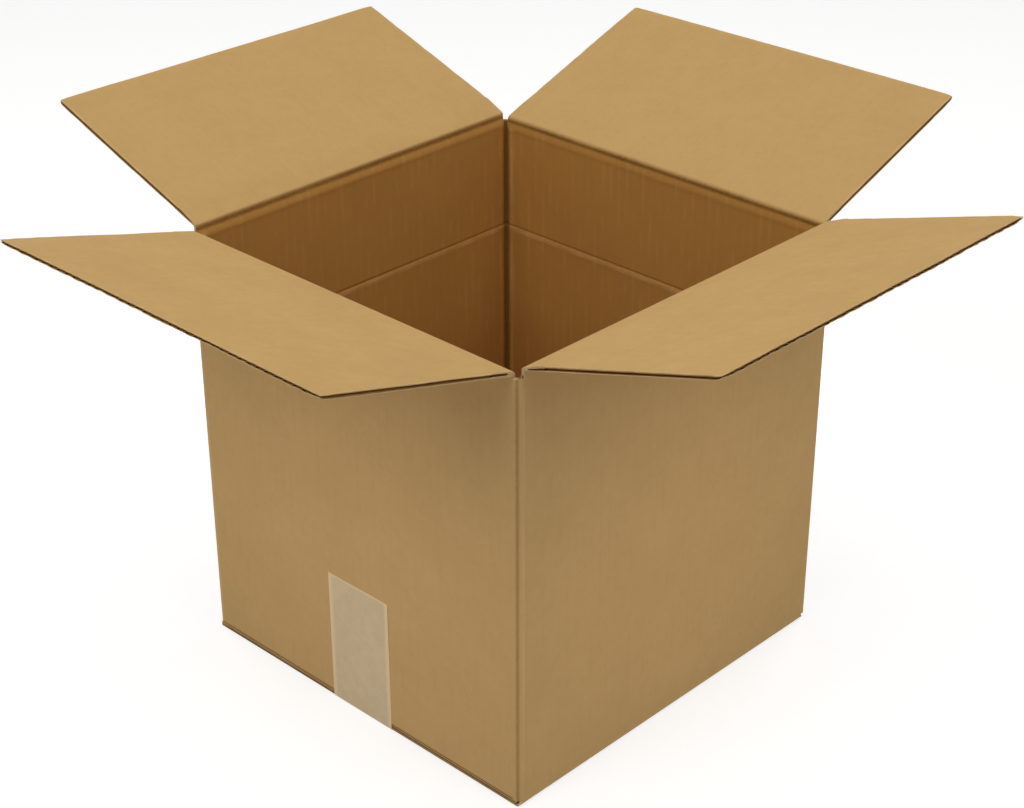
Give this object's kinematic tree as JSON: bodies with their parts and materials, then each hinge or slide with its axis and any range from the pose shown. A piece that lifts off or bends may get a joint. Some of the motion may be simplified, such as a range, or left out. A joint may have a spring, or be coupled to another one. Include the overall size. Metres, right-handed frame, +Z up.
{
  "type": "open cardboard carton",
  "caption": "Square-based corrugated cardboard carton, erected, with taped bottom and hinged top flaps splayed open.",
  "frame": {"origin": "centre of the underside on the floor, where the bottom flaps meet under the tape", "axes": "+Z up out of the opening, -Y out of the front wall with the tape, +X out of the right wall"},
  "size_m": [0.5067, 0.5075, 0.317],
  "materials": {
    "board": "matt brown kraft liner",
    "tape": "clear packing tape over board, satin"
  },
  "bodies": {
    "carton": {"carton_body": "board", "bottom_tape": "tape"},
    "front_flap": {"flap_front": "board"},
    "back_flap": {"flap_back": "board"},
    "left_flap": {"flap_left": "board"},
    "right_flap": {"flap_right": "board"}
  },
  "joints": [
    {"name": "front_flap_hinge", "type": "hinge", "parent": "carton", "child": "front_flap", "pos_m": [0, -0.13015, 0.268], "axis": [1, 0, 0], "range_deg": [-164.4, 105.6]},
    {"name": "back_flap_hinge", "type": "hinge", "parent": "carton", "child": "back_flap", "pos_m": [0, 0.13015, 0.268], "axis": [-1, 0, 0], "range_deg": [-160.3, 109.7]},
    {"name": "left_flap_hinge", "type": "hinge", "parent": "carton", "child": "left_flap", "pos_m": [-0.13015, 0, 0.2713], "axis": [0, -1, 0], "range_deg": [-160.8, 109.2]},
    {"name": "right_flap_hinge", "type": "hinge", "parent": "carton", "child": "right_flap", "pos_m": [0.13015, 0, 0.2713], "axis": [0, 1, 0], "range_deg": [-162.6, 107.4]}
  ]
}
